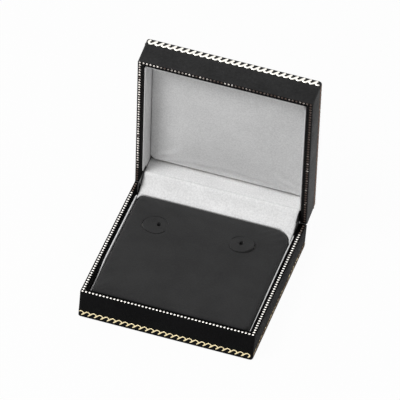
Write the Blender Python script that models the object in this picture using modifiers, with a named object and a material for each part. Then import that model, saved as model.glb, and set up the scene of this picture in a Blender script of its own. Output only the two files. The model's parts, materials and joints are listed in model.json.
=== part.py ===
"""Hinged earring box: leatherette trays, a velour pad with two lifting earring flaps,
a satin-lined lid and an over-centre snap hinge.  Metres, +Z up, shown open at rest.

Both halves are built in the frame of the hinge axis: x across the box, y towards the
back, and a depth that is measured from the rim into each half.  The base frame lies
level, and the lid frame is turned back by the opening angle.
"""
import math

import bmesh
import bpy
from mathutils import Matrix, Vector

# Overall sizes of the closed box
box_width = 0.0730
box_depth = 0.0760
base_height = 0.0130
lid_height = 0.0126
corner_radius = 0.0012
edge_radius = 0.0004

# How the lid opens
open_angle = math.radians(80.0)
hinge_inset = 0.0024
rim_gap = 0.0005
stop_gap = 0.0004

# Gaps between pieces that sit on or in each other
seat_gap = 0.0003
pad_gap = 0.0004
foil_gap = 0.00005
overrun = 0.0010

# Leatherette, trays and the sheet under the base
skin = 0.0005
wall = 0.0010
floor_thickness = 0.0009
turn_in_depth = 0.0035
turn_under = 0.0050
sheet_thickness = 0.0008
sheet_proud = 0.0003

# Gold foil borders
foil_thickness = 0.00010
scroll_height = 0.0030
scroll_margin = 0.0004
bead_diameter = 0.0009
bead_inset = 0.0010

# Satin-covered linings round the inside
lining = 0.0005
lining_drop = 0.0003
rear_lining_thickness = 0.0006
rear_lining_root = 0.0043
rear_lining_rim = 0.0055
rear_lining_drop = 0.0021

# The pad in the base
pad_back = 0.0056
pad_rear_radius = 0.0072
pad_front_radius = 0.0022
pad_drop = 0.0001
pad_crown = 0.0004
pad_edge_round = 0.0008
velour = 0.0006
foam_thickness = 0.0024
pad_card_thickness = 0.0012
riser_inset = 0.0020
riser_thickness = 0.0008

# Earring flaps cut in the pad
flap_width = 0.0112
flap_length = 0.0106
flap_thickness = 0.0018
slit_width = 0.0004
post_hole = 0.0013
hole_spacing = 0.0352
hole_offset = -0.0024
hole_from_hinge = 0.0224

# The puffed panel in the lid
panel_card_thickness = 0.0006
panel_satin = 0.0003
panel_edge_round = 0.0008
panel_edge_height = 0.0021
panel_crown = 0.0016
panel_corner_radius = 0.0026
crown_ring_shares = (0.94, 0.8, 0.6, 0.35)

# The snap hinge: two steel leaves with ears, rivets and a bowed spring
leaf = 0.0005
ear_reach = 0.0065
ear_overlap = math.radians(2.0)
boss_radius = 0.0016
rivet_radius = 0.0006
rivet_head_radius = 0.0011
rivet_head = 0.0005
lid_leaf_depth = 0.0085
lid_heel_share = 0.52
base_heel_share = 0.86
toggle_radius = 0.0025
toggle_seat_radius = 0.0080
toggle_gap = 0.0010
spring_width = 0.0400
spring_thickness = 0.0004
spring_bow = 0.0005
strip_thickness = 0.0005
strip_sag = 0.0003

# Worked out from the sizes above
half_width = box_width / 2
front = -(box_depth - hinge_inset)
back = hinge_inset
half_opening = open_angle / 2
hinge_height = base_height + rim_gap / 2

tray_inset = skin + seat_gap
cavity_inset = tray_inset + wall
turn_inset = cavity_inset + seat_gap
rim_width = turn_inset + skin
lining_inset = rim_width + seat_gap
pad_inset = lining_inset + lining + pad_gap
base_ear_inset = rim_width + seat_gap
lid_ear_inset = base_ear_inset + leaf + seat_gap
strip_inset = lid_ear_inset + leaf + seat_gap

covering_depth = base_height - sheet_proud
base_floor = base_height - sheet_thickness - seat_gap - floor_thickness
lid_floor = lid_height - skin - seat_gap - floor_thickness
rear_wall_drop = boss_radius + seat_gap - rim_gap / 2

pad_half_width = half_width - pad_inset
pad_region = (pad_half_width, front + lining_inset, -pad_back, pad_front_radius,
              pad_rear_radius)
foam_top = pad_drop + velour + seat_gap
card_top = foam_top + foam_thickness + seat_gap
card_bottom = card_top + pad_card_thickness
riser_top = card_bottom + seat_gap

panel_region = (pad_half_width, front + pad_inset, -(rear_lining_root + pad_gap),
                panel_corner_radius, panel_corner_radius)
panel_card_far = lid_floor - seat_gap
panel_card_near = panel_card_far - panel_card_thickness
panel_shoulder = panel_card_far - panel_edge_height

toggle_turn = math.pi / 2 - half_opening
seat_place = Vector((0, -toggle_seat_radius * math.cos(toggle_turn),
                     -toggle_seat_radius * math.sin(toggle_turn)))
weld_distance = seat_gap / 1000

corner_segments = 3
edge_segments = 2
arc_segments = 6
turned_steps = 16


class Half:
    """One half of the box: its hinge frame and which way its depth runs."""

    def __init__(self, name, up, frame, height, floor):
        self.name = name
        self.up = up
        self.frame = frame
        self.height = height
        self.floor = floor

    def level(self, depth):
        """Height in the hinge frame of a depth below this half's rim."""
        return self.up * (rim_gap / 2 + depth)


def clear_scene():
    for old in list(bpy.data.objects):
        bpy.data.objects.remove(old, do_unlink=True)


def new_collection(name):
    collection = bpy.data.collections.new(name)
    bpy.context.scene.collection.children.link(collection)
    return collection


def make_material(name, colour, roughness, metallic=0.0):
    material = bpy.data.materials.new(name)
    material.use_nodes = True
    shader = material.node_tree.nodes["Principled BSDF"]
    shader.inputs["Base Color"].default_value = (*colour, 1.0)
    shader.inputs["Roughness"].default_value = roughness
    shader.inputs["Metallic"].default_value = metallic
    return material


def make_empty(name, location, rotation=(0, 0, 0), parent=None):
    empty = bpy.data.objects.new(name, None)
    parts.objects.link(empty)
    empty.location = location
    empty.rotation_euler = rotation
    empty.parent = parent
    return empty


def add_object(name, bm, frame, location, material=None):
    """Make an object of a bmesh; one without a material is a cutter."""
    bmesh.ops.recalc_face_normals(bm, faces=bm.faces)
    mesh = bpy.data.meshes.new(name)
    bm.to_mesh(mesh)
    bm.free()
    piece = bpy.data.objects.new(name, mesh)
    piece.parent = frame
    piece.location = location
    if material is None:
        cutters.objects.link(piece)
        piece.hide_render = True
        piece.display_type = 'WIRE'
    else:
        parts.objects.link(piece)
        mesh.materials.append(material)
    return piece


def combine(target, tool, operation):
    modifier = target.modifiers.new(tool.name, 'BOOLEAN')
    modifier.operation = operation
    modifier.solver = 'EXACT'
    modifier.object = tool


def cut(target, tool):
    combine(target, tool, 'DIFFERENCE')


def join(target, tool):
    combine(target, tool, 'UNION')


def box_mesh(size, radius=0, rounding=0):
    """A block about the origin, with rounded upright corners and softened edges."""
    bm = bmesh.new()
    bmesh.ops.create_cube(bm, size=1)
    bmesh.ops.scale(bm, vec=size, verts=bm.verts)
    if radius:
        upright = [edge for edge in bm.edges
                   if abs(edge.verts[0].co.z - edge.verts[1].co.z) > size[2] / 2]
        bmesh.ops.bevel(bm, geom=upright, offset=radius, offset_type='OFFSET',
                        segments=corner_segments, profile=0.5, affect='EDGES')
    if rounding:
        flat = [edge for edge in bm.edges
                if len(edge.link_faces) == 2
                and abs(edge.link_faces[0].normal.z - edge.link_faces[1].normal.z) > 0.5]
        bmesh.ops.bevel(bm, geom=flat, offset=rounding, offset_type='OFFSET',
                        segments=edge_segments, profile=0.5, affect='EDGES')
    return bm


def slice_rear(bm, half, centre, offset):
    """Trim the rear top edge back to the plane where both halves meet when open."""
    normal = Vector((0, math.sin(half_opening), -half.up * math.cos(half_opening)))
    point = -normal * (stop_gap / 2 + offset) - centre
    everything = bm.verts[:] + bm.edges[:] + bm.faces[:]
    result = bmesh.ops.bisect_plane(bm, geom=everything, plane_co=point, plane_no=normal,
                                    clear_outer=True)
    cut_edges = [item for item in result["geom_cut"] if isinstance(item, bmesh.types.BMEdge)]
    bmesh.ops.edgeloop_fill(bm, edges=cut_edges)


def block(name, half, inset, near, far, material=None, rear=None, front_inset=None,
          radius=0, rounding=0, sliced=None):
    """A block set in from the outside of one half, between two depths below its rim."""
    x_half = half_width - inset
    y_front = front + (inset if front_inset is None else front_inset)
    y_back = (back - inset) if rear is None else rear
    ends = (half.level(near), half.level(far))
    centre = Vector((0, (y_front + y_back) / 2, sum(ends) / 2))
    size = (2 * x_half, y_back - y_front, abs(ends[1] - ends[0]))
    bm = box_mesh(size, radius, rounding)
    if sliced is not None:
        slice_rear(bm, half, centre, sliced)
    return add_object(name, bm, half.frame, centre, material)


def flat_shape(outlines, thickness):
    """Flat outlines, the first with the rest as holes, as a welded mesh of one thickness."""
    curve = bpy.data.curves.new("outline", 'CURVE')
    curve.dimensions = '2D'
    curve.fill_mode = 'BOTH'
    curve.extrude = thickness / 2
    for outline in outlines:
        spline = curve.splines.new('POLY')
        spline.points.add(len(outline) - 1)
        for point, (first, second) in zip(spline.points, outline):
            point.co = (first, second, 0, 1)
        spline.use_cyclic_u = True
    holder = bpy.data.objects.new("outline", curve)
    cutters.objects.link(holder)
    graph = bpy.context.evaluated_depsgraph_get()
    mesh = bpy.data.meshes.new_from_object(holder.evaluated_get(graph))
    bpy.data.objects.remove(holder)
    bpy.data.curves.remove(curve)
    bm = bmesh.new()
    bm.from_mesh(mesh)
    bpy.data.meshes.remove(mesh)
    bmesh.ops.remove_doubles(bm, verts=bm.verts, dist=weld_distance)
    return bm


def side_plate(name, frame, outlines, x_centre, thickness, material=None):
    """A plate whose outlines are drawn from the side, in y and z, and run along x."""
    bm = flat_shape(outlines, thickness)
    turn = Matrix(((0, 0, 1), (1, 0, 0), (0, 1, 0)))
    bmesh.ops.transform(bm, matrix=turn.to_4x4(), verts=bm.verts)
    return add_object(name, bm, frame, (x_centre, 0, 0), material)


def arc(centre, radius, start, end, segments=arc_segments):
    """Points of a circular arc; angles run from +y towards +z."""
    points = []
    for step in range(segments + 1):
        angle = start + (end - start) * step / segments
        points.append((centre[0] + radius * math.cos(angle),
                       centre[1] + radius * math.sin(angle)))
    return points


def region_outline(region, inset):
    """Outline of a pad seen from above, anticlockwise from its front right corner."""
    x_half, y_front, y_back, front_radius, rear_radius = region
    x_half -= inset
    y_front += inset
    y_back -= inset
    corners = ((x_half - front_radius, y_front + front_radius, front_radius, -0.25),
               (x_half - rear_radius, y_back - rear_radius, rear_radius, 0.0),
               (-x_half + rear_radius, y_back - rear_radius, rear_radius, 0.25),
               (-x_half + front_radius, y_front + front_radius, front_radius, 0.5))
    outline = []
    for x, y, radius, turn in corners:
        start = 2 * math.pi * turn
        outline += arc((x, y), radius, start, start + math.pi / 2)
    return outline


def crowned_form(name, half, region, inset, bottom, shoulder, rounding, crown, material,
                 thickness=None):
    """A pad with rounded edges and a crown: a skin if it has a thickness, else solid."""
    rings = [(inset, bottom, 1.0)]
    for step in range(edge_segments + 1):
        turn = math.pi / 2 * step / edge_segments
        rings.append((inset + rounding * (1 - math.cos(turn)),
                      shoulder + rounding * (1 - math.sin(turn)), 1.0))
    for share in crown_ring_shares:
        rings.append((inset + rounding, shoulder - crown * (1 - share ** 2), share))
    middle_y = (region[1] + region[2]) / 2
    bm = bmesh.new()
    loops = []
    for ring_inset, depth, share in rings:
        loop = []
        for x, y in region_outline(region, ring_inset):
            place = (x * share, middle_y + (y - middle_y) * share, half.level(depth))
            loop.append(bm.verts.new(place))
        loops.append(loop)
    for lower, upper in zip(loops, loops[1:]):
        for i, vert in enumerate(lower):
            j = (i + 1) % len(lower)
            bm.faces.new((vert, lower[j], upper[j], upper[i]))
    bm.faces.new(loops[-1])
    if thickness is None:
        bm.faces.new(loops[0])
    piece = add_object(name, bm, half.frame, (0, 0, 0), material)
    if thickness is not None:
        solid = piece.modifiers.new("cloth", 'SOLIDIFY')
        solid.thickness = thickness
        solid.offset = -1.0
    piece.data.shade_smooth()
    return piece


def lying_plate(name, half, outlines, near, far, material=None):
    """A flat plate drawn from above, between two depths of one half."""
    ends = (half.level(near), half.level(far))
    bm = flat_shape(outlines, abs(ends[1] - ends[0]))
    return add_object(name, bm, half.frame, (0, 0, sum(ends) / 2), material)


def band_outline(points, thickness):
    """Outline of a band of even thickness along a run of points."""
    near_edge = []
    far_edge = []
    for i, (first, second) in enumerate(points):
        before = points[max(i - 1, 0)]
        after = points[min(i + 1, len(points) - 1)]
        along = Vector((after[0] - before[0], after[1] - before[1])).normalized()
        reach = thickness / 2
        near_edge.append((first - along[1] * reach, second + along[0] * reach))
        far_edge.append((first + along[1] * reach, second - along[0] * reach))
    return near_edge + far_edge[::-1]


def make_covering(half, material):
    """Leatherette round the outside, turned over the rim and down inside it."""
    height = covering_depth if half.name == "base" else half.height
    covering = block(half.name + "_covering", half, 0, 0, height, material,
                     radius=corner_radius, rounding=edge_radius, sliced=0)
    hollow = block(half.name + "_hollow", half, skin, skin, height - skin,
                   radius=corner_radius - skin, sliced=skin)
    mouth = block(half.name + "_mouth", half, rim_width, -overrun, skin + overrun,
                  rear=back - skin)
    turn_in = block(half.name + "_turn_in", half, turn_inset, skin / 2, turn_in_depth,
                    rear=back - cavity_inset, sliced=skin / 2)
    turn_in_hole = block(half.name + "_turn_in_hole", half, rim_width, -overrun,
                         turn_in_depth + overrun, rear=back)
    cut(covering, hollow)
    cut(covering, mouth)
    cut(turn_in, turn_in_hole)
    join(covering, turn_in)
    if half.name == "base":
        window = block("base_window", half, turn_under, height - skin - overrun,
                       height + overrun)
        cut(covering, window)
    return covering


def make_tray(half, material):
    """Moulded tray with a low rear wall, which leaves room for the hinge."""
    top = skin + seat_gap
    far = half.floor + floor_thickness
    tray = block(half.name + "_tray", half, tray_inset, top, far, material,
                 radius=corner_radius - skin, sliced=tray_inset)
    hollow = block(half.name + "_tray_hollow", half, cavity_inset, -overrun, half.floor)
    low_rear = block(half.name + "_low_rear", half, cavity_inset, -overrun, rear_wall_drop,
                     rear=back + overrun)
    cut(tray, hollow)
    cut(tray, low_rear)
    return tray


def make_scroll_border(half, material):
    """Gold border round the walls, next to the edge furthest from the rim."""
    height = covering_depth if half.name == "base" else half.height
    far = height - scroll_margin - edge_radius
    near = far - scroll_height
    border = block(half.name + "_scroll_border", half, -(foil_gap + foil_thickness), near, far,
                   material, radius=corner_radius + foil_gap + foil_thickness)
    inside = block(half.name + "_scroll_inside", half, -foil_gap, near - overrun, far + overrun,
                   radius=corner_radius + foil_gap)
    cut(border, inside)
    return border


def make_bead_line(half, material):
    """Gold beading along the front and side rims."""
    outer = bead_inset - bead_diameter / 2
    inner = bead_inset + bead_diameter / 2
    line = block(half.name + "_bead_line", half, outer, -(foil_gap + foil_thickness), -foil_gap,
                 material, rear=-stop_gap)
    inside = block(half.name + "_bead_inside", half, inner, -overrun, overrun, rear=back)
    cut(line, inside)
    return line


def make_side_lining(half, material):
    """Satin strip along the front and sides, notched at the rear for the hinge ears.

    In the base its front run is low, because the pad lies over it.
    """
    far = half.floor - seat_gap
    rear = -(rear_lining_root - pad_gap) if half.name == "lid" else -(ear_reach + seat_gap)
    strip = block(half.name + "_side_lining", half, lining_inset, lining_drop, far, material,
                  rear=rear, radius=corner_radius)
    hole = block(half.name + "_lining_hole", half, lining_inset + lining, -overrun, far + overrun,
                 rear=back)
    cut(strip, hole)
    if half.name == "base":
        low_front = block("base_lining_front", half, lining_inset + lining, -overrun, riser_top,
                          rear=front + pad_inset, front_inset=0)
        cut(strip, low_front)
    if half.name == "lid":
        notch_depth = ear_reach * math.sin(half_opening + ear_overlap) + seat_gap
        notch_reach = ear_reach + seat_gap
        notch = block("lid_lining_notch", half, 0, -overrun, notch_depth, rear=back,
                      front_inset=-front - notch_reach)
        cut(strip, notch)
    return strip


def ear_outline(half, heel, foot):
    """Side view of a hinge ear: a fan from its leaf to just past the middle of the gap."""
    near_side = -half.up
    rise = half_opening + ear_overlap
    leaf_back = back - cavity_inset - seat_gap
    foot_level = half.level(foot)
    fan_start = math.pi - half.up * math.acos(heel / ear_reach)
    fan_end = math.pi - near_side * rise
    boss_start = fan_end - near_side * math.pi / 2
    boss_end = 2 * math.pi if half.up > 0 else 0
    outline = [(leaf_back, foot_level), (-heel, foot_level)]
    outline += arc((0, 0), ear_reach, fan_start, fan_end)
    outline += arc((0, 0), boss_radius, boss_start, boss_end)
    outline.append((leaf_back, half.level(boss_radius)))
    return outline


def hinge_ears(half, inset, heel, foot):
    """The two ears of a leaf, with clearance holes for the rivets."""
    hole = arc((0, 0), rivet_radius + seat_gap, 0, 2 * math.pi, turned_steps)[:-1]
    ears = []
    for side in (-1, 1):
        x_centre = side * (half_width - inset - leaf / 2)
        outlines = [ear_outline(half, heel, foot), hole]
        ears.append(side_plate(half.name + "_ear", half.frame, outlines, x_centre, leaf))
    return ears


def make_base_leaf(half, material):
    """Lower hinge leaf: a trough along the rear wall with an ear at each end."""
    leaf_back = back - cavity_inset - seat_gap
    plate_top = -(toggle_radius + toggle_gap)
    floor_level = half.level(half.floor - seat_gap)
    lip_top = seat_place[2] - seat_gap - spring_thickness / 2
    lip_front = seat_place[1] - leaf / 2
    outline = [(leaf_back, plate_top), (leaf_back, floor_level), (lip_front, floor_level),
               (lip_front, lip_top), (lip_front + leaf, lip_top),
               (lip_front + leaf, floor_level + leaf), (leaf_back - leaf, floor_level + leaf),
               (leaf_back - leaf, plate_top)]
    length = 2 * (half_width - base_ear_inset - leaf / 2)
    plate = side_plate("hinge_base_leaf", half.frame, [outline], 0, length, material)
    heel = ear_reach * base_heel_share
    for ear in hinge_ears(half, base_ear_inset, heel, half.floor - seat_gap):
        join(plate, ear)
    return plate


def make_lid_leaf(half, material):
    """Upper hinge leaf: a plate with two ears and a tongue that the spring pushes."""
    leaf_back = back - cavity_inset - seat_gap
    plate_foot = boss_radius + seat_gap
    outline = [(leaf_back, plate_foot), (leaf_back, half.level(lid_leaf_depth)),
               (leaf_back - leaf, half.level(lid_leaf_depth)), (leaf_back - leaf, plate_foot)]
    length = 2 * (half_width - lid_ear_inset - leaf / 2)
    plate = side_plate("hinge_lid_leaf", half.frame, [outline], 0, length, material)
    tongue = [(leaf_back, -toggle_radius), (leaf_back, plate_foot + leaf),
              (leaf_back - leaf, plate_foot + leaf), (leaf_back - leaf, -toggle_radius)]
    join(plate, side_plate("lid_tongue", half.frame, [tongue], 0, spring_width))
    heel = ear_reach * lid_heel_share
    for ear in hinge_ears(half, lid_ear_inset, heel, lid_leaf_depth):
        join(plate, ear)
    return plate


def make_rivet(name, frame, side, material):
    """Turned hinge rivet: head inside the lid ear, shank through both ears."""
    length = lid_ear_inset + leaf + seat_gap - base_ear_inset
    profile = [(0, rivet_head), (rivet_head_radius, rivet_head), (rivet_head_radius, 0),
               (rivet_radius, 0), (rivet_radius, -length), (0, -length)]
    mesh = bpy.data.meshes.new(name)
    points = [(radius, 0, height) for radius, height in profile]
    edges = [(i, i + 1) for i in range(len(points) - 1)]
    mesh.from_pydata(points, edges, [])
    mesh.materials.append(material)
    rivet = bpy.data.objects.new(name, mesh)
    parts.objects.link(rivet)
    rivet.parent = frame
    rivet.location = (side * (half_width - strip_inset), 0, 0)
    rivet.rotation_euler = (0, -side * math.pi / 2, 0)
    turned = rivet.modifiers.new("turned", 'SCREW')
    turned.steps = turned_steps
    turned.render_steps = turned_steps
    turned.use_merge_vertices = True
    turned.merge_threshold = weld_distance
    return rivet


def make_spring(frame, material):
    """Bowed spring strip between the trough's lip and the lid leaf's tongue."""
    open_turn = toggle_turn - half_opening
    tongue_end = Vector((0, -toggle_radius * math.cos(open_turn),
                         -toggle_radius * math.sin(open_turn)))
    reach = tongue_end - seat_place
    length = toggle_seat_radius - toggle_radius - seat_gap
    points = []
    for step in range(arc_segments + 1):
        share = step / arc_segments
        points.append((length * share, 4 * spring_bow * share * (1 - share)))
    outline = band_outline(points, spring_thickness)
    spring = side_plate("snap_spring", frame, [outline], 0, spring_width, material)
    spring.location = seat_place
    spring.rotation_euler = (math.atan2(reach[2], reach[1]), 0, 0)
    return spring


def corner_outline(side):
    """Outline of the satin between the strip and one rounded rear corner of the pad."""
    reach = pad_rear_radius + pad_gap
    centre = (pad_half_width - pad_rear_radius, -pad_back - pad_rear_radius)
    edge = half_width - strip_inset
    start = math.acos((edge - centre[0]) / reach)
    foot = -pad_back + seat_gap + strip_thickness
    outline = [(centre[0], foot), (edge, foot)] + arc(centre, reach, start, math.pi / 2)
    return [(side * x, y) for x, y in outline]


def make_satin_strip(base, material):
    """Satin from the lid's rear lining down to the pad, and round the pad's rear corners."""
    lid_edge = Vector((0, -rear_lining_rim, rim_gap / 2 + rear_lining_drop))
    lid_edge.rotate(Matrix.Rotation(-open_angle, 3, 'X'))
    clear = seat_gap + strip_thickness / 2
    start = (lid_edge[1], lid_edge[2] - clear)
    end = (-pad_back + clear, base.level(foam_top))
    points = []
    for step in range(arc_segments + 1):
        share = step / arc_segments
        sag = 4 * strip_sag * share * (1 - share)
        points.append((start[0] + (end[0] - start[0]) * share + sag,
                       start[1] + (end[1] - start[1]) * share - sag))
    outline = band_outline(points, strip_thickness)
    strip = side_plate("hinge_satin_strip", base.frame, [outline], 0,
                       2 * (half_width - strip_inset), material)
    for side in (-1, 1):
        corner = lying_plate("satin_corner", base, [corner_outline(side)],
                             foam_top - strip_thickness / 2, foam_top + strip_thickness / 2)
        join(strip, corner)
    return strip


def make_rear_lining(lid, material):
    """Satin-covered card that hides the hinge leaf inside the lid."""
    rim_level = lid.level(rear_lining_drop)
    root_level = lid.level(lid.floor - seat_gap)
    outline = [(-rear_lining_rim, rim_level), (-rear_lining_root, root_level),
               (-rear_lining_root + rear_lining_thickness, root_level),
               (-rear_lining_rim + rear_lining_thickness, rim_level)]
    return side_plate("lid_rear_lining", lid.frame, [outline], 0,
                      2 * (half_width - strip_inset), material)


def flap_outline(side, grow, root_gap):
    """Outline of a flap from its root, with a round free end, grown by the slit."""
    radius = flap_width / 2
    middle = flap_length - radius
    outline = [(-side * root_gap, -radius - grow), (-side * root_gap, radius + grow)]
    start = math.pi / 2
    outline += arc((side * middle, 0), radius + grow, start, start - side * math.pi)
    return outline


def flap_root(side):
    """Where a flap's fold lies: across the pad, on its crowned top."""
    middle = flap_length - flap_width / 2
    hole_x = hole_offset + side * hole_spacing / 2
    share = abs(hole_x) / pad_half_width
    depth = pad_drop - pad_crown * (1 - share ** 2)
    return Vector((hole_x - side * middle, -hole_from_hinge, -(rim_gap / 2 + depth)))


def make_flap(name, side, base, material):
    """Earring flap that lifts about its root, with a hole for the post."""
    middle = (side * (flap_length - flap_width / 2), 0)
    hole = arc(middle, post_hole / 2, 0, 2 * math.pi, turned_steps)[:-1]
    bm = flat_shape([flap_outline(side, 0, 0), hole], flap_thickness)
    bmesh.ops.translate(bm, vec=(0, 0, -flap_thickness / 2), verts=bm.verts)
    return add_object(name, bm, base.frame, flap_root(side), material)


def make_pad(base, colours):
    """Velour pad on foam and card, slit round both flaps, standing on a folded riser."""
    velour_pad = crowned_form("pad_velour", base, pad_region, 0, card_bottom, pad_drop,
                              pad_edge_round, pad_crown, colours["velour"], velour)
    inner = velour + seat_gap
    foam = crowned_form("pad_foam", base, pad_region, inner, card_top - seat_gap, foam_top,
                        pad_edge_round - velour, pad_crown, colours["foam"])
    card = lying_plate("pad_card", base, [region_outline(pad_region, inner)], card_top,
                       card_bottom, colours["card"])
    for side in (-1, 1):
        slit = add_object("flap_slit",
                          flat_shape([flap_outline(side, slit_width, seat_gap)],
                                     2 * (card_bottom + overrun)),
                          base.frame, flap_root(side))
        for piece in (velour_pad, foam, card):
            cut(piece, slit)
    riser_far = base.floor - seat_gap
    walls = [region_outline(pad_region, riser_inset),
             region_outline(pad_region, riser_inset + riser_thickness)]
    lying_plate("pad_riser", base, walls, riser_top, riser_far, colours["card"])


def make_lid_panel(lid, colours):
    """Puffed satin panel over foam and card, inside the top of the lid."""
    inner = panel_satin + seat_gap
    crowned_form("lid_panel_satin", lid, panel_region, 0, panel_card_far, panel_shoulder,
                 panel_edge_round, panel_crown, colours["satin"], panel_satin)
    crowned_form("lid_panel_foam", lid, panel_region, inner, panel_card_near - seat_gap,
                 panel_shoulder + inner, panel_edge_round - panel_satin, panel_crown,
                 colours["foam"])
    lying_plate("lid_panel_card", lid, [region_outline(panel_region, inner)], panel_card_near,
                panel_card_far, colours["card"])


def make_bottom_sheet(base, material):
    """Felt sheet that fills the window under the base and carries the box."""
    far = base_height
    return block("base_bottom_sheet", base, turn_under + seat_gap, far - sheet_thickness, far,
                 material, radius=corner_radius)


def build():
    colours = {
        "leatherette": make_material("leatherette", (0.018, 0.018, 0.019), 0.55),
        "tray": make_material("tray", (0.05, 0.05, 0.05), 0.5),
        "gold": make_material("gold", (0.95, 0.80, 0.48), 0.3, 1.0),
        "satin": make_material("satin", (0.82, 0.82, 0.82), 0.4),
        "velour": make_material("velour", (0.032, 0.032, 0.033), 0.95),
        "foam": make_material("foam", (0.75, 0.73, 0.66), 0.9),
        "card": make_material("card", (0.55, 0.50, 0.42), 0.85),
        "steel": make_material("steel", (0.03, 0.03, 0.03), 0.4, 0.6),
        "spring": make_material("spring", (0.55, 0.56, 0.58), 0.3, 1.0),
        "felt": make_material("felt", (0.03, 0.03, 0.03), 0.95),
    }
    hinge_place = (0, box_depth / 2 - hinge_inset, hinge_height)
    base_frame = make_empty("base_frame", hinge_place)
    lid_frame = make_empty("lid_frame", hinge_place, (-open_angle, 0, 0))
    base = Half("base", -1, base_frame, base_height, base_floor)
    lid = Half("lid", 1, lid_frame, lid_height, lid_floor)
    for half in (base, lid):
        make_covering(half, colours["leatherette"])
        make_tray(half, colours["tray"])
        make_scroll_border(half, colours["gold"])
        make_bead_line(half, colours["gold"])
        make_side_lining(half, colours["satin"])
    make_bottom_sheet(base, colours["felt"])
    make_pad(base, colours)
    make_flap("earring_flap_left", -1, base, colours["velour"])
    make_flap("earring_flap_right", 1, base, colours["velour"])
    make_base_leaf(base, colours["steel"])
    make_lid_leaf(lid, colours["steel"])
    make_rivet("hinge_rivet_left", base_frame, -1, colours["spring"])
    make_rivet("hinge_rivet_right", base_frame, 1, colours["spring"])
    make_spring(base_frame, colours["spring"])
    make_satin_strip(base, colours["satin"])
    make_rear_lining(lid, colours["satin"])
    make_lid_panel(lid, colours)


clear_scene()
parts = new_collection("earring_box")
cutters = new_collection("cutters")
build()
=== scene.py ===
"""The looks of a hinged earring box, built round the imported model: black leatherette, a gold
foil scroll and beads, a charcoal velour pad with two flaps, and white satin.  Metres, +Z up.

Each half is dressed in the frame of the hinge axis: x across the box, y towards the back,
and a depth that is measured from the rim into that half.
"""
import json
import math

import bmesh
import bpy
from mathutils import Matrix, Vector, noise


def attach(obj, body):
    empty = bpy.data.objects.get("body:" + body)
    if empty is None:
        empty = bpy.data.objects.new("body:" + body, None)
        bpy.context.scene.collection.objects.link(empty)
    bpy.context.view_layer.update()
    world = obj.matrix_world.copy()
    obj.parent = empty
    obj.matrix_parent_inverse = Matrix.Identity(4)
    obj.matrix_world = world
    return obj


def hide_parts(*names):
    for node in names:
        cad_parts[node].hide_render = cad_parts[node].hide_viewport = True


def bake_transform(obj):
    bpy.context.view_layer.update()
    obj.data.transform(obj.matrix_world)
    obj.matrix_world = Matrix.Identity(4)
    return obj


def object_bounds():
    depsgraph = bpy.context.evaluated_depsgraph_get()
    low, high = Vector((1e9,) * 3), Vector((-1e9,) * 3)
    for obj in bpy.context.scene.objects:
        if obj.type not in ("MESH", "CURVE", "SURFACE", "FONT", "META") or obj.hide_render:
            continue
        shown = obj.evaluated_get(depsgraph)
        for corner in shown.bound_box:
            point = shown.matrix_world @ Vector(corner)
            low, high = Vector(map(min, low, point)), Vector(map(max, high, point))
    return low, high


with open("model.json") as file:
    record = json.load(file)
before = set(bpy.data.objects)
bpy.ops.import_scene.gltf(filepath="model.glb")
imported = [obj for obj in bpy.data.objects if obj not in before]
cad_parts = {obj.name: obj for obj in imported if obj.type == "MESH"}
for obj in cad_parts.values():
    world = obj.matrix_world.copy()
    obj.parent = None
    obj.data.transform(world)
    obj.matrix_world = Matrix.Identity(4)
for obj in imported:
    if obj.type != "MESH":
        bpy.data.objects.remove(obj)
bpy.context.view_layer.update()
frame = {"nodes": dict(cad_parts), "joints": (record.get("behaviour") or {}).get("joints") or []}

# The camera, fitted to the corners of both halves in the photograph
camera_azimuth = math.radians(13.36)
camera_elevation = math.radians(39.95)
camera_roll = math.radians(5.56)
camera_distance = 2.428
camera_target = Vector((0.00028, -0.0015, 0.0439))
camera_lens = 548.97
camera_clip_ratio = 20

# The floor and the light
floor_reach = 3.0
floor_white = 0.62
floor_glow_share = 0.965
sky_strength = 0.42
key_place = Vector((-0.40, -0.52, 0.88))
key_power = 7.4
key_size = 0.50
fill_place = Vector((0.95, 0.25, 0.45))
fill_power = 0.75
fill_size = 0.60

# CAD nodes: points that are welded, faces that are flat, and edges that are softened
weld_gap = 0.000002
flat_angle = math.radians(1)
soft_angle = math.radians(30)
edge_softness = 0.00012

# Leatherette, and its rim band, which is painted darker as shade where it faces the rim's way,
# and made rougher
pebble_size = 0.00060
pebble_depth = 0.00006
pebble_crease = 0.22
leather_patch_size = 18 * pebble_size
rim_shade_darkness = 0.35
rim_facing = (0.90, 0.97)
rim_roughness = 0.3

# Satin and velour
satin_thread = 0.00016
velour_pile_size = 0.00018
velour_pile_depth = 0.00005
velour_fleck_size = 0.0006
velour_fleck_depth = 0.00008
velour_brush_size = 0.012

# Plain stuffs: material name, two colours, grain size, roughness, metallic share, grain depth
plain_stuffs = {
    "enamel": ("enamel", (0.006, 0.006, 0.006), (0.010, 0.010, 0.010),
               0.0008, 0.34, 0.0, 0.00001),
    "tray": ("tray_plastic", (0.030, 0.030, 0.031), (0.040, 0.040, 0.041),
             0.0010, 0.5, 0.0, 0.00002),
    "steel": ("plated_steel", (0.42, 0.43, 0.45), (0.55, 0.56, 0.58),
              0.0004, 0.26, 1.0, 0.000005),
    "card": ("grey_card", (0.42, 0.38, 0.32), (0.56, 0.52, 0.45),
             0.0005, 0.85, 0.0, 0.00003),
    "foam": ("foam", (0.60, 0.58, 0.50), (0.78, 0.76, 0.68),
             0.0004, 0.9, 0.0, 0.00010),
    "felt": ("flock_paper", (0.012, 0.012, 0.012), (0.026, 0.026, 0.026),
             0.0003, 0.9, 0.0, 0.00006),
}
plain_nodes = {"base_bottom_sheet": "felt", "pad_foam": "foam", "pad_card": "card",
               "pad_riser": "card", "hinge_rivet_left": "steel", "hinge_rivet_right": "steel",
               "snap_spring": "steel", "lid_panel_foam": "foam", "lid_panel_card": "card"}
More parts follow.
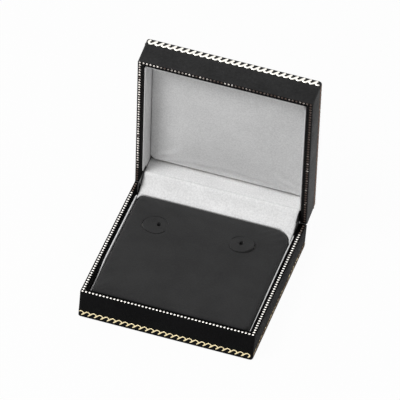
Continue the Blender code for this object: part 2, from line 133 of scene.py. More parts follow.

# Gold foil: its relief, the bead lines, its rubbed specks, and how much darker it is near the
# hinge
foil_lift = 0.00003
foil_relief = 0.00013
foil_grain_size = 0.0003
foil_grain_depth = 0.00003
foil_rub_size = 0.0022
hinge_darkening = 0.36
hinge_darkening_run = (0.004, 0.009)
bead_reaches = {"front": (0.00046, 0.00045), "side": (0.00052, 0.00037)}
bead_height = 0.00022
bead_pitch = 0.00148
bead_inset = 0.0010
bead_rear_gap = 0.0012
bead_rings = (0.55, 0.9, 1.0)
bead_sides = 10

# The scroll: its pitch, its height on the wall, and the room at both ends of a wall
scroll_pitch = 0.00267
scroll_middles = {"base": 0.00218, "lid": 0.00150}
scroll_first_crest = 0.0012
scroll_last_room = 0.0012

# The middle line of one scroll: run in pitches, rise in metres, width as a share
scroll_line = ((0.0, -0.00098, 0.8), (0.20, -0.00055, 0.9), (0.42, 0.00008, 1.0),
               (0.64, 0.00066, 0.95), (0.86, 0.00097, 0.8), (1.08, 0.00086, 0.85),
               (1.25, 0.00046, 0.95), (1.29, 0.0, 1.0), (1.20, -0.00046, 1.1),
               (1.03, -0.00088, 1.15))
scroll_crest_share = 0.86
scroll_hook_start = 6
scroll_steps = 2
scroll_ends = (0.6, 0.9, 1.0)
scroll_widths = {"base": 0.00050, "lid": 0.00090}
ribbon_shares = (-1.0, -0.6, 0.0, 0.6, 1.0)

# Cloth that swells over foam: it is solved ten times as large, then scaled back
cloth_scale = 10
cloth_frames = 20
cloth_pressure = 4.0
cloth_stiffness = 20
cloth_bending = 1.5
cloth_voxel = 0.0065
cloth_start_inset = 0.00015
cloth_pinned_share = 0.35
pad_swell = 0.0002
panel_swell = 0.0011
panel_reach = 0.03302

# The seam below the panel: how far its edge stands off at the left and the right, how much
# that wanders and over what length, and how far up the panel it is felt
seam_stands = (0.00018, 0.00005)
seam_wander = 0.00018
seam_wave = 0.0085
seam_run = 0.0045

# The flaps: an oval, cut but for its root, which bends up a little, over a pocket
flap_radius = 0.0056
flap_half_widths = {"left": 0.0052, "right": 0.0048}
flap_shifts = {"left": -0.0009, "right": 0.0003}
flap_reach = 0.0106
flap_root_reach = 0.0045
flap_root_share = 0.40
flap_steps = 64
flap_slit = 0.00036
flap_thickness = 0.0012
flap_lifts = {"left": 0.00035, "right": 0.00130}
post_hole_sides = 16
post_hole_reach = (0.00092, 0.00128)
post_hole_shifts = {"left": (0.00080, 0.0009), "right": (0.00008, 0.0007)}
pocket_depth = 0.0019
cutter_height = 0.002

# The linings: their soft edges and uneven face
lining_roundings = {"side": 0.00022, "rear": 0.00018}
lining_sharp_angle = 0.5
lining_step = 0.0029
lining_wave = 0.006
lining_wave_depth = 0.00006
lining_wave_seed = 3

# How far the base lining sinks at first, how much more, and where it does so
lining_sinks = {"left": (0.0001, 0.0022, -0.048, -0.063),
                "right": (0.0008, 0.0010, -0.030, -0.066)}
lining_wander = 0.00012
lining_wander_wave = 0.009

# The rear corners of the pad: the radius of the solid, and that of each side here
shoulder_radius = 0.0072
shoulder_radii = {"left": 0.0032, "right": 0.0072}

# The hinge ears beside the satin: their thickness in the solids, and their two faces here
ear_thickness = 0.0005
lid_ear = (0.03303, 0.03328)
base_ear = (0.03334, 0.03358)

# The satin over the hinge: how it wraps the lining's end, runs to its foot behind the pad,
# and lies on a shelf behind the pad's round shoulders
satin_reach = 0.0329
strip_thickness = 0.0003
strip_gap = 0.00012
strip_waves = 0.00010
strip_wave_sizes = (0.011, 0.005)
strip_columns = 96
strip_steps = 4
wrap_start = (0.0010, 0.0016)
wrap_turn = 0.00085
wrap_tilt = 0.00002
wrap_drop = 0.0008
strip_foot_depth = 0.0004
strip_sag = 0.0002
shoulder_drop = 0.0007
shelf_shares = (0.35, 0.65)
shelf_run = 0.003
shelf_middle = (0.25, 0.0001)
shelf_end_drop = 0.0008

# Pin ends that close the line between the rims at the hinge
pin_radius = 0.00023
pin_sides = 20
pin_outer_inset = 0.0001
pin_inner_gap = 0.0002


class Half:
    """One half of the box: its hinge frame, its body and its measured CAD solids."""

    def __init__(self, name, up, place):
        self.name = name
        self.up = up
        self.place = place
        self.rim = abs(self.box(name + "_covering")[0 if up > 0 else 1][2])

    def box(self, node):
        """Lowest and highest corner of a CAD node in this half's hinge frame."""
        back = self.place.inverted()
        points = [back @ v.co for v in frame["nodes"][node].data.vertices]
        return (Vector([min(p[i] for p in points) for i in range(3)]),
                Vector([max(p[i] for p in points) for i in range(3)]))

    def level(self, depth):
        """The height in the hinge frame that lies a depth below this half's rim."""
        return self.up * (self.rim + depth)


hinge = next(joint for joint in frame["joints"] if joint["name"] == "lid_hinge")
open_angle = math.radians(hinge["range_deg"][1])
pivot = Matrix.Translation(hinge["pos_m"])
base = Half("base", -1, pivot)
lid = Half("lid", 1, pivot @ Matrix.Rotation(-open_angle, 4, 'X'))


# Materials

def add(tree, kind, inputs=None, **settings):
    """Add a shader node, set its settings, and set or link its inputs."""
    node = tree.nodes.new("ShaderNode" + kind)
    for name, value in settings.items():
        setattr(node, name, value)
    for name, value in (inputs or {}).items():
        if isinstance(value, bpy.types.NodeSocket):
            tree.links.new(value, node.inputs[name])
        else:
            node.inputs[name].default_value = value
    return node


def principled(name, **inputs):
    """A new material, its node tree, its shader and its object coordinates."""
    material = bpy.data.materials.new(name)
    material.use_nodes = True
    tree = material.node_tree
    shader = tree.nodes["Principled BSDF"]
    for key, value in inputs.items():
        shader.inputs[key.replace("_", " ")].default_value = value
    return material, tree, shader, add(tree, "TexCoord").outputs["Object"]


def ramp(tree, factor, low, high, first, second):
    """A value that runs from first to second as factor runs from low to high."""
    spread = add(tree, "MapRange", {"Value": factor, "From Min": low, "From Max": high,
                                    "To Min": first, "To Max": second})
    return spread.outputs["Result"]


def tint(tree, factor, first, second):
    """A colour between two, mixed by factor."""
    mix = add(tree, "Mix", {"Factor": factor}, data_type='RGBA')
    mix.inputs[6].default_value = (*first, 1)
    mix.inputs[7].default_value = (*second, 1)
    return mix.outputs[2]


def cloud(tree, place, size, detail=2.0, roughness=0.5):
    """Noise whose features are about one size across."""
    return add(tree, "TexNoise", {"Vector": place, "Scale": 1 / size, "Detail": detail,
                                  "Roughness": roughness}).outputs["Fac"]


def bump(tree, height, distance, strength=1.0, normal=None):
    """A normal that is bumped by a height, over another normal where one is given."""
    inputs = {"Height": height, "Distance": distance, "Strength": strength}
    if normal is not None:
        inputs["Normal"] = normal
    return add(tree, "Bump", inputs).outputs["Normal"]


def make_leatherette(name, dark, light, specular, rim_way):
    """Pebbled plastic leather: small domed grains with shallow creases between them.

    The rim band, which faces rim_way, is painted darker as shade and is rougher.
    """
    material, tree, shader, place = principled(name, Specular_IOR_Level=specular)
    drift = add(tree, "TexNoise", {"Vector": place, "Scale": 1 / (4 * pebble_size)})
    shift = add(tree, "VectorMath", {0: drift.outputs["Color"], "Scale": pebble_size},
                operation='SCALE')
    bent = add(tree, "VectorMath", {0: place, 1: shift.outputs[0]}, operation='ADD')
    grain = add(tree, "TexVoronoi", {"Vector": bent.outputs[0], "Scale": 1 / pebble_size},
                feature='DISTANCE_TO_EDGE')
    dome = ramp(tree, grain.outputs["Distance"], 0.0, pebble_crease, 0.0, 1.0)
    fine = cloud(tree, place, pebble_size / 4)
    patches = cloud(tree, place, leather_patch_size, 3.0)
    flecks = cloud(tree, place, 2 * pebble_size, 3.0, 0.7)
    mixed = add(tree, "Math", {0: patches, 1: flecks}, operation='ADD').outputs[0]
    colour = tint(tree, ramp(tree, mixed, 0.75, 1.25, 0.0, 1.0), dark, light)
    # Painted shade: faces that turn the rim's way get a darker colour
    faces = add(tree, "TexCoord").outputs["Normal"]
    facing = add(tree, "VectorMath", {0: faces, 1: rim_way}, operation='DOT_PRODUCT')
    rim = ramp(tree, facing.outputs["Value"], *rim_facing, 0.0, 1.0)
    rim_painted_shade = add(tree, "Mix", {"Factor": rim}, data_type='RGBA')
    tree.links.new(colour, rim_painted_shade.inputs[6])
    rim_painted_shade.inputs[7].default_value = (*(rim_shade_darkness * part for part in dark), 1)
    tree.links.new(rim_painted_shade.outputs[2], shader.inputs["Base Color"])
    rough = ramp(tree, patches, 0.3, 0.7, 0.46, 0.60)
    rough = add(tree, "Math", {0: rough, 1: ramp(tree, rim, 0.0, 1.0, 0.0, rim_roughness)},
                operation='ADD')
    tree.links.new(rough.outputs[0], shader.inputs["Roughness"])
    normal = bump(tree, fine, pebble_depth / 3, 0.5)
    tree.links.new(bump(tree, dome, pebble_depth, 0.8, normal), shader.inputs["Normal"])
    return material


def make_satin(name, dark, light, thread, sheen):
    """Woven satin: long floats one way over fine threads the other, a little cloudy."""
    material, tree, shader, place = principled(name, Roughness=0.5, Sheen_Weight=sheen,
                                               Sheen_Roughness=0.4, Specular_IOR_Level=0.35)
    weave = None
    for direction in ('X', 'Z'):
        threads = add(tree, "TexWave", {"Vector": place, "Scale": 1 / (2 * thread),
                                        "Distortion": 1.2, "Detail": 1.0,
                                        "Detail Scale": 2.0},
                      wave_type='BANDS', bands_direction=direction)
        level = threads.outputs["Fac"]
        if weave is None:
            weave = level
        else:
            weave = add(tree, "Math", {0: weave, 1: level}, operation='MULTIPLY').outputs[0]
    slubs = cloud(tree, place, 4 * thread, 3.0, 0.65)
    patches = cloud(tree, place, 60 * thread, 3.0)
    soft = add(tree, "Math", {0: patches, 1: 0.25, 2: slubs}, operation='MULTIPLY_ADD')
    colour = tint(tree, ramp(tree, soft.outputs[0], 0.46, 0.79, 0.0, 1.0), dark, light)
    tree.links.new(colour, shader.inputs["Base Color"])
    normal = bump(tree, slubs, thread / 3, 0.35)
    tree.links.new(bump(tree, weave, thread / 6, 0.4, normal), shader.inputs["Normal"])
    return material


def make_velour(name, dark, light):
    """Short upright pile, brushed a little different ways, with a soft sheen at its edges."""
    material, tree, shader, place = principled(name, Roughness=0.9, Specular_IOR_Level=0.15,
                                               Sheen_Weight=0.25, Sheen_Roughness=0.45)
    pile = cloud(tree, place, velour_pile_size, 2.0, 0.7)
    brushed = cloud(tree, place, velour_brush_size, 4.0, 0.55)
    fleck = cloud(tree, place, velour_fleck_size, 3.0, 0.7)
    mixed = add(tree, "Math", {0: brushed, 1: fleck}, operation='ADD').outputs[0]
    colour = tint(tree, ramp(tree, mixed, 0.75, 1.25, 0.0, 1.0), dark, light)
    tree.links.new(colour, shader.inputs["Base Color"])
    normal = bump(tree, fleck, velour_fleck_depth, 0.5)
    tree.links.new(bump(tree, pile, velour_pile_depth, 0.8, normal), shader.inputs["Normal"])
    return material


def make_foil(name, bright, worn_and_shaded, roughness, wear_and_shade_range=(0.58, 0.74), side_shade=0.0,
              drift=0.0):
    """Hot-stamped metal foil, a little uneven, rubbed through in specks, and darker near the
    hinge.

    Painted shade: the side share darkens the walls that face left and right, and drift darkens
    the foil more towards the right.
    """
    material, tree, shader, place = principled(name, Metallic=1.0)
    wear_and_shade = cloud(tree, place, foil_rub_size, 4.0, 0.7)
    faces = add(tree, "SeparateXYZ", {"Vector": add(tree, "TexCoord").outputs["Normal"]})
    spread = add(tree, "SeparateXYZ", {"Vector": place})
    sideways = add(tree, "Math", {0: faces.outputs["X"]}, operation='ABSOLUTE').outputs[0]
    reach = base.box("base_covering")[1].x
    flat = add(tree, "VectorMath", {0: place, 1: (0, 1, 1)}, operation='MULTIPLY')
    away = add(tree, "VectorMath", {0: flat.outputs[0], 1: hinge["pos_m"]},
               operation='DISTANCE')
    # Painted shade on walls that face left and right and towards the right, and darker near the
    # hinge, added to the rubbed specks
    for factor in (ramp(tree, sideways, 0.5, 0.9, 0.0, side_shade),
                   ramp(tree, spread.outputs["X"], -reach, reach, -drift, drift),
                   ramp(tree, away.outputs["Value"], *hinge_darkening_run, hinge_darkening, 0.0)):
        wear_and_shade = add(tree, "Math", {0: wear_and_shade, 1: factor}, operation='ADD').outputs[0]
    colour = tint(tree, ramp(tree, wear_and_shade, *wear_and_shade_range, 0.0, 1.0), bright, worn_and_shaded)
    tree.links.new(colour, shader.inputs["Base Color"])
    tree.links.new(ramp(tree, wear_and_shade, 0.3, 0.7, roughness, roughness + 0.2),
                   shader.inputs["Roughness"])
    grain = cloud(tree, place, foil_grain_size, 2.0)
    tree.links.new(bump(tree, grain, foil_grain_depth, 0.5), shader.inputs["Normal"])
    return material


def make_plain(name, first, second, size, roughness, metallic, depth):
    """A plain stuff whose colour, roughness and surface vary over one grain size."""
    material, tree, shader, place = principled(name, Metallic=metallic)
    grain = cloud(tree, place, size, 4.0, 0.6)
    tree.links.new(tint(tree, ramp(tree, grain, 0.3, 0.7, 0.0, 1.0), first, second),
                   shader.inputs["Base Color"])
    tree.links.new(ramp(tree, grain, 0.3, 0.7, roughness, roughness + 0.12),
                   shader.inputs["Roughness"])
    tree.links.new(bump(tree, grain, depth, 0.6), shader.inputs["Normal"])
    return material


def make_materials():
    """Every finish, by the name that build() uses."""
    lid_facing = lid.place.to_3x3() @ Vector((0, 0, -1))
    stuff = {
        # Painted light and shade: base and lid leatherette are one stuff, the base copy painted
        # darker as shaded and the lid copy lighter as lit, each with its own specular
        "base_leatherette": make_leatherette(
            "base_leatherette", (0.0046, 0.0046, 0.0048), (0.0076, 0.0076, 0.0079),
            specular=0.02, rim_way=(0, 0, 1)),
        "lid_leatherette": make_leatherette(
            "lid_leatherette", (0.0135, 0.0135, 0.0138), (0.0260, 0.0260, 0.0265),
            specular=0.10, rim_way=lid_facing),
        # Painted shade: the side share darkens the foil on walls that face left and right
        "base_foil": make_foil("base_foil", (1.0, 0.86, 0.53), (0.11, 0.065, 0.03), 0.22,
                               wear_and_shade_range=(0.60, 0.78), side_shade=0.38),
        "lid_foil": make_foil("lid_foil", (1.0, 0.97, 0.90), (0.13, 0.07, 0.04), 0.30,
                              wear_and_shade_range=(0.62, 0.76), side_shade=0.36),
        "base_beads": make_foil("base_beads", (1.0, 0.97, 0.92), (0.17, 0.13, 0.11), 0.30),
        # Painted shade: drift darkens the lid beads more towards the right
        "lid_beads": make_foil("lid_beads", (0.90, 0.85, 0.80), (0.10, 0.072, 0.062), 0.35,
                               wear_and_shade_range=(0.38, 0.55), drift=0.10),
        "satin": make_satin("satin", (0.71, 0.71, 0.71), (0.88, 0.88, 0.88),
                            satin_thread, sheen=0.08),
        "velour": make_velour("velour", (0.0175, 0.0175, 0.0179), (0.0265, 0.0265, 0.0269)),
    }
    for key, settings in plain_stuffs.items():
        stuff[key] = make_plain(*settings)
    return stuff


# Pieces

def new_object(name, bm):
    """An object of a bmesh, in the scene; the bmesh is freed."""
    mesh = bpy.data.meshes.new(name)
    bm.to_mesh(mesh)
    bm.free()
    thing = bpy.data.objects.new(name, mesh)
    bpy.context.scene.collection.objects.link(thing)
    return thing


def new_piece(name, bm, place, material, body, smooth=35):
    """A visible piece of a bmesh that is drawn in a hinge frame, riding on a body if one is
    named; edges under smooth degrees are shaded smooth."""
    bmesh.ops.transform(bm, matrix=place, verts=bm.verts)
    bmesh.ops.recalc_face_normals(bm, faces=bm.faces)
    piece = new_object(name, bm)
    piece.data.materials.append(material)
    piece.data.shade_smooth()
    piece.data.set_sharp_from_angle(angle=math.radians(smooth))
    if body:
        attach(piece, body)
    return piece


def dress_node(node, material, softness=0.0):
    """Give a CAD node its finish, and soften its sharp edges."""
    thing = frame["nodes"][node]
    for slot in thing.material_slots:
        slot.material = material
    if softness:
        weld = thing.modifiers.new("weld", 'WELD')
        weld.merge_threshold = weld_gap
        flat = thing.modifiers.new("flat", 'DECIMATE')
        flat.decimate_type = 'DISSOLVE'
        flat.angle_limit = flat_angle
        soft = thing.modifiers.new("soft", 'BEVEL')
        soft.width = softness
        soft.segments = 2
        soft.limit_method = 'ANGLE'
        soft.angle_limit = soft_angle
        thing.data.shade_smooth()


def node_copy(node, place):
    """A welded copy of a CAD node's mesh, in a hinge frame."""
    bm = bmesh.new()
    bm.from_mesh(frame["nodes"][node].data)
    bmesh.ops.transform(bm, matrix=place.inverted(), verts=bm.verts)
    bmesh.ops.remove_doubles(bm, verts=bm.verts, dist=weld_gap)
    bmesh.ops.dissolve_limit(bm, angle_limit=flat_angle, verts=bm.verts, edges=bm.edges)
    return bm


def curve_through(points, steps):
    """A smooth run through points, with the first and last as its ends."""
    ends = [points[0]] + list(points) + [points[-1]]
    run = []
    for before, start, end, after in zip(ends, ends[1:], ends[2:], ends[3:]):
        for step in range(steps):
            t = step / steps
            run.append(tuple(
                0.5 * (2 * b + (c - a) * t + (2 * a - 5 * b + 4 * c - d) * t ** 2
                       + (3 * b - a - 3 * c + d) * t ** 3)
                for a, b, c, d in zip(before, start, end, after)))
    return run


def wall_runs(half):
    """The four outer walls, each with its start, its way, its outward way and its length.

    A run starts at the wall's left end as seen from outside with the half's rim up, so the
    lid's scroll is turned half round when the box is closed.
    """
    low, high = half.box(half.name + "_covering")
    corners = (Vector((low.x, low.y, 0)), Vector((high.x, low.y, 0)),
               Vector((high.x, high.y, 0)), Vector((low.x, high.y, 0)))
    runs = []
    for start, end in zip(corners, corners[1:] + corners[:1]):
        length = (end - start).length
        along = (end - start) / length
        outward = along.cross(Vector((0, 0, 1)))
        if half.up > 0:
            start, along = end, -along
        runs.append((start, along, outward, length))
    return runs


def ribbon(bm, line, width, place):
    """A raised ribbon along a line of run, rise and width share; place sets each point."""
    before = None
    for i, (run, rise, share) in enumerate(line):
        after = line[min(i + 1, len(line) - 1)]
        back = line[max(i - 1, 0)]
        along = Vector((after[0] - back[0], after[1] - back[1])).normalized()
        taper = min(scroll_ends[min(i, len(scroll_ends) - 1)],
                    scroll_ends[min(len(line) - 1 - i, len(scroll_ends) - 1)])
        row = []
        for side in ribbon_shares:
            reach = width / 2 * share * taper * side
            lift = foil_lift + foil_relief * taper * (1 - side ** 2)
            row.append(bm.verts.new(place(run - along.y * reach, rise + along.x * reach, lift)))
        if before:
            for j in range(len(row)):
                k = (j + 1) % len(row)
                bm.faces.new((before[j], before[k], row[k], row[j]))
        else:
            bm.faces.new(row)
        before = row
    bm.faces.new(before)


def make_scroll(half, material):
    """Running scroll in raised foil along each wall, from a hook at the start of its run."""
    low, high = half.box(half.name + "_covering")
    edge = max(abs(low.z), abs(high.z)) - half.rim
    middle = edge - scroll_middles[half.name]
    line = [(u * scroll_pitch, v, share) for u, v, share in scroll_line]
    line = curve_through(line, scroll_steps) + [line[-1]]
    bm = bmesh.new()
    for start, along, outward, length in wall_runs(half):
        def place(run, rise, lift):
            spot = start + along * run + outward * lift
            spot.z = half.level(middle - rise)
            return spot
        count = int((length - scroll_first_crest - scroll_last_room) / scroll_pitch) + 1
        for unit in range(count):
            shift = scroll_first_crest + (unit - scroll_crest_share) * scroll_pitch
            whole = line if unit else line[scroll_hook_start:]
            ribbon(bm, [(run + shift, rise, share) for run, rise, share in whole],
                   scroll_widths[half.name], place)
    return new_piece(half.name + "_scroll", bm, half.place, material, half.name,
                     smooth=60)


def make_beads(half, material):
    """Domed foil beads along the front and side rims."""
    low, high = half.box(half.name + "_covering")
    x = high.x - bead_inset
    front = low.y + bead_inset
    rear = -bead_rear_gap
    places = []
    across = round(2 * x / bead_pitch)
    for i in range(across + 1):
        places.append((-x + 2 * x * i / across, front, bead_reaches["front"]))
    deep = round((rear - front) / bead_pitch)
    for side in (-1, 1):
        for i in range(1, deep + 1):
            places.append((side * x, front + (rear - front) * i / deep, bead_reaches["side"]))
    bm = bmesh.new()
    top = half.level(0)
    for px, py, (reach_x, reach_y) in places:
        tip = bm.verts.new((px, py, top - half.up * bead_height))
        ring_before = None
        for share in bead_rings:
            rise = bead_height * math.sqrt(1 - share ** 2)
            ring = []
            for step in range(bead_sides):
                turn = 2 * math.pi * step / bead_sides
                ring.append(bm.verts.new((px + reach_x * share * math.cos(turn),
                                          py + reach_y * share * math.sin(turn),
                                          top - half.up * rise)))
            for i in range(bead_sides):
                j = (i + 1) % bead_sides
                if ring_before is None:
                    bm.faces.new((tip, ring[i], ring[j]))
                else:
                    bm.faces.new((ring_before[i], ring[i], ring[j], ring_before[j]))
            ring_before = ring
        bm.faces.new(ring_before)
    return new_piece(half.name + "_beads", bm, half.place, material, half.name,
                     smooth=60)


def wavy(bm):
    """Move points a little along their normals, as cloth over card does."""
    bm.normal_update()
    for vert in bm.verts:
        shift = noise.noise(vert.co / lining_wave + Vector((lining_wave_seed, 0, 0)))
        vert.co += vert.normal * shift * lining_wave_depth


def make_lining(node, name, half, material, rounding, shape=None):
    """Satin wrapped over a card strip: soft edges, and a slightly uneven face that is cut
    across in even steps to be shaped."""
    bm = node_copy(node, half.place)
    bmesh.ops.bevel(bm, geom=[e for e in bm.edges
                              if e.calc_face_angle(0) > lining_sharp_angle],
                    offset=rounding, offset_type='OFFSET', segments=3, profile=0.5,
                    affect='EDGES', clamp_overlap=True)
    low, high = half.box(node)
    for axis in range(3):
        way = Vector([float(axis == i) for i in range(3)])
        count = max(1, round((high - low)[axis] / lining_step))
        for i in range(1, count):
            spot = low + (high - low) * i / count
            bmesh.ops.bisect_plane(bm, geom=bm.verts[:] + bm.edges[:] + bm.faces[:],
                                   plane_co=spot, plane_no=way)
    wavy(bm)
    if shape:
        shape(bm)
    piece = new_piece(name, bm, half.place, material, half.name, smooth=50)
    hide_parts(node)


def smooth_share(value, start, end):
    """How far value is from start to end, eased at both."""
    share = min(1, max(0, (value - start) / (end - start)))
    return share * share * (3 - 2 * share)


def sink_lining(bm):
    """The base lining was cut by hand: it runs below the pad on the right, and on the left
    only towards the front."""
    low, high = base.box("base_side_lining")
    for vert in bm.verts:
        side = "left" if vert.co.x < 0 else "right"
        first, more, start, end = lining_sinks[side]
        sink = first + more * smooth_share(vert.co.y, start, end)
        sink += lining_wander * noise.noise(Vector((vert.co.y / lining_wander_wave,
                                                    side == "left", 0)))
        vert.co.z = low.z + (vert.co.z - low.z) * (1 - sink / (high.z - low.z))


def widen_satin(bm):
    """Stretch the rear lining out to the hinge ears."""
    wide = lid.box("lid_rear_lining")[1].x
    for vert in bm.verts:
        vert.co.x *= satin_reach / wide


def make_leaf(node, name, half, inner, outer, material):
    """A hinge leaf whose ears are thinned and set close to the walls."""
    bm = node_copy(node, half.place)
    high = half.box(node)[1].x
    low = high - ear_thickness
    for vert in bm.verts:
        reach = abs(vert.co.x)
        if reach > low - weld_gap:
            moved = inner + (reach - low) / (high - low) * (outer - inner)
            vert.co.x = math.copysign(moved, vert.co.x)
    piece = new_piece(name, bm, half.place, material, half.name, smooth=35)
    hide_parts(node)


def finished(thing, *others):
    """The mesh of a thing with its modifiers applied, as a bmesh; the things are removed."""
    graph = bpy.context.evaluated_depsgraph_get()
    mesh = bpy.data.meshes.new_from_object(thing.evaluated_get(graph))
    bm = bmesh.new()
    bm.from_mesh(mesh)
    bpy.data.meshes.remove(mesh)
    for old in (thing, *others):
        bpy.data.objects.remove(old, do_unlink=True)
    return bm


def combined(first, second, operation):
    """Two closed bmeshes put together by a Boolean."""
    thing = new_object("first", first)
    tool = new_object("second", second)
    step = thing.modifiers.new("combine", 'BOOLEAN')
    step.operation = operation
    step.solver = 'EXACT'
    step.object = tool
    return finished(thing, tool)


def cushion(node, half):
    """The closed hull of a padded CAD skin in its hinge frame, evenly meshed and cloth_scale
    times as large."""
    bm = bmesh.new()
    bm.from_mesh(frame["nodes"][node].data)
    bmesh.ops.transform(bm, matrix=half.place.inverted(), verts=bm.verts)
    hull = bmesh.ops.convex_hull(bm, input=bm.verts)
    spare = {item for key in ("geom_interior", "geom_unused") for item in hull[key]
             if isinstance(item, bmesh.types.BMVert)}
    bmesh.ops.delete(bm, geom=list(spare), context='VERTS')
    low, high = half.box(node)
    middle = (low + high) / 2
    size = high - low
    shrink = [1 - 2 * cloth_start_inset / size.x, 1 - 2 * cloth_start_inset / size.y, 1]
    for vert in bm.verts:
        for axis in range(3):
            shift = (vert.co[axis] - middle[axis]) * shrink[axis]
            vert.co[axis] = (middle[axis] + shift) * cloth_scale
    thing = new_object("swelling", bm)
    even = thing.modifiers.new("even", 'REMESH')
    even.mode = 'VOXEL'
    even.voxel_size = cloth_voxel
    return finished(thing)


def swollen(node, half, swell):
    """A padded CAD skin's cushion, swollen as cloth under pressure by no more than swell."""
    start = cushion(node, half)
    low, high = half.box(node)
    back = half.level(max(abs(low.z), abs(high.z)) - half.rim)
    near_back = (high - low).z * cloth_pinned_share * cloth_scale
    places = [v.co.copy() for v in start.verts]
    thing = new_object("swelling", start)
    pinned = thing.vertex_groups.new(name="pinned")
    pinned.add([i for i, place in enumerate(places)
                if abs(place.z - back * cloth_scale) < near_back], 1.0, 'REPLACE')
    cloth = thing.modifiers.new("cloth", 'CLOTH')
    cloth.settings.vertex_group_mass = "pinned"
    cloth.settings.use_pressure = True
    cloth.settings.uniform_pressure_force = cloth_pressure
    cloth.settings.tension_stiffness = cloth_stiffness
    cloth.settings.compression_stiffness = cloth_stiffness
    cloth.settings.bending_stiffness = cloth_bending
    cloth.settings.effector_weights.gravity = 0
    cloth.collision_settings.use_collision = False
    cloth.point_cache.frame_start = 1
    cloth.point_cache.frame_end = cloth_frames
    for step in range(1, cloth_frames + 1):
        bpy.context.scene.frame_set(step)
        bpy.context.view_layer.update()
    solved = finished(thing)
    bpy.context.scene.frame_set(1)
    for vert, place in zip(solved.verts, places):
        shift = vert.co - place
        if shift.length > swell * cloth_scale:
            shift.length = swell * cloth_scale
        vert.co = (place + shift) / cloth_scale
    return solved


def smoothed(bm, rounds):
    """Even out the points of a bmesh, in so many rounds."""
    for _ in range(rounds):
        bmesh.ops.smooth_vert(bm, verts=bm.verts, factor=0.5, use_axis_x=True,
                              use_axis_y=True, use_axis_z=True)


def make_panel(material):
    """The puffed satin panel in the lid, with a thin seam below its lower edge."""
    bm = swollen("lid_panel_satin", lid, panel_swell)
    smoothed(bm, 2)
    wide = max(vert.co.x for vert in bm.verts)
    edge = max(vert.co.y for vert in bm.verts)
    for vert in bm.verts:
        vert.co.x *= panel_reach / wide
        across = (vert.co.x / panel_reach + 1) / 2
        stand = seam_stands[0] + (seam_stands[1] - seam_stands[0]) * across
        stand += seam_wander * noise.noise(Vector((vert.co.x / seam_wave, 0, 0)))
        vert.co.y -= max(stand, 0) * smooth_share(vert.co.y, edge - seam_run, edge)
    piece = new_piece("lid_panel", bm, lid.place, material, "lid", smooth=80)
    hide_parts("lid_panel_satin")


def flap_shape(name, grow):
    """An oval flap seen from above, grown by a slit where it is cut, but not at its root.

    Returns its outline, the x of its root, the side it points to, and its centre's x and y.
    """
    side = -1 if name == "left" else 1
    low, high = base.box("earring_flap_" + name)
    root = high.x if side < 0 else low.x
    middle_y = (low.y + high.y) / 2 + flap_shifts[name]
    centre = root + side * (flap_reach - flap_radius)
    outline = []
    for step in range(flap_steps):
        turn = 2 * math.pi * (step + 0.5) / flap_steps
        across = math.cos(turn)
        cut = grow
        long = flap_radius
        if across < 0:
            long = flap_root_reach
            if abs(math.sin(turn)) < flap_root_share:
                cut = 0
        outline.append((centre + side * (long + cut) * across,
                        middle_y + (flap_half_widths[name] + cut) * math.sin(turn)))
    return outline, centre - side * flap_root_reach, side, centre, middle_y


def prism(outline, low, high):
    """An upright prism between two heights."""
    bm = bmesh.new()
    face = bm.faces.new([bm.verts.new((x, y, low)) for x, y in outline])
    top = bmesh.ops.extrude_face_region(bm, geom=[face])["geom"]
    for item in top:
        if isinstance(item, bmesh.types.BMVert):
            item.co.z = high
    bmesh.ops.recalc_face_normals(bm, faces=bm.faces)
    return bm


def shoulder_reach(side, across, back):
    """How far the pad's rear corner reaches from the CAD arc's centre, in one direction."""
    radius = shoulder_radii[side]
    inset = shoulder_radius - radius
    length = math.hypot(across, back)
    across, back = across / length, back / length
    if min(across, back) * shoulder_radius <= inset * max(across, back):
        return shoulder_radius / max(across, back)
    ahead = inset * (across + back)
    return ahead + math.sqrt(ahead ** 2 - 2 * inset ** 2 + radius ** 2)


def fill_shoulders(bm):
    """Give each rear corner of the pad its own radius: the left one is cut tighter."""
    high = base.box("pad_velour")[1]
    middle_y = high.y - shoulder_radius
    for vert in bm.verts:
        side = "left" if vert.co.x < 0 else "right"
        across = abs(vert.co.x) - (high.x - shoulder_radius)
        back = vert.co.y - middle_y
        if across <= 0 or back <= 0:
            continue
        share = math.hypot(across, back) / shoulder_radius
        grow = 1 + (shoulder_reach(side, across, back) / shoulder_radius - 1) * share ** 2
        vert.co.x = math.copysign(high.x - shoulder_radius + across * grow, vert.co.x)
        vert.co.y = middle_y + back * grow


def make_flap(name, whole, top, material):
    """One flap, cut out of the top of the whole cushion, with its post hole."""
    outline, root, side, centre, middle_y = flap_shape(name, 0)
    above = top + cutter_height
    flap = combined(whole.copy(), prism(outline, top - flap_thickness, above), 'INTERSECT')
    hole_x, hole_y = post_hole_shifts[name]
    hole = []
    for step in range(post_hole_sides):
        turn = 2 * math.pi * step / post_hole_sides
        hole.append((centre + hole_x + post_hole_reach[0] * math.cos(turn),
                     middle_y + hole_y + post_hole_reach[1] * math.sin(turn)))
    flap = combined(flap, prism(hole, top - 2 * flap_thickness, above), 'DIFFERENCE')
    for vert in flap.verts:
        run = abs(vert.co.x - root) / flap_reach
        vert.co.z += flap_lifts[name] * run ** 2
    piece = new_piece("flap_" + name, flap, base.place, material, None, smooth=40)
    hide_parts("earring_flap_" + name)
    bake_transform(piece)


def make_pad(material):
    """The velour pad with both flaps, which are cut out of its own top."""
    whole = swollen("pad_velour", base, pad_swell)
    smoothed(whole, 1)
    fill_shoulders(whole)
    top = base.box("pad_velour")[1].z
    pad = whole.copy()
    for name in ("left", "right"):
        pocket = prism(flap_shape(name, flap_slit)[0], top - pocket_depth, top + cutter_height)
        pad = combined(pad, pocket, 'DIFFERENCE')
        make_flap(name, whole, top, material)
    whole.free()
    piece = new_piece("pad_cover", pad, base.place, material, "base", smooth=40)
    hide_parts("pad_velour")


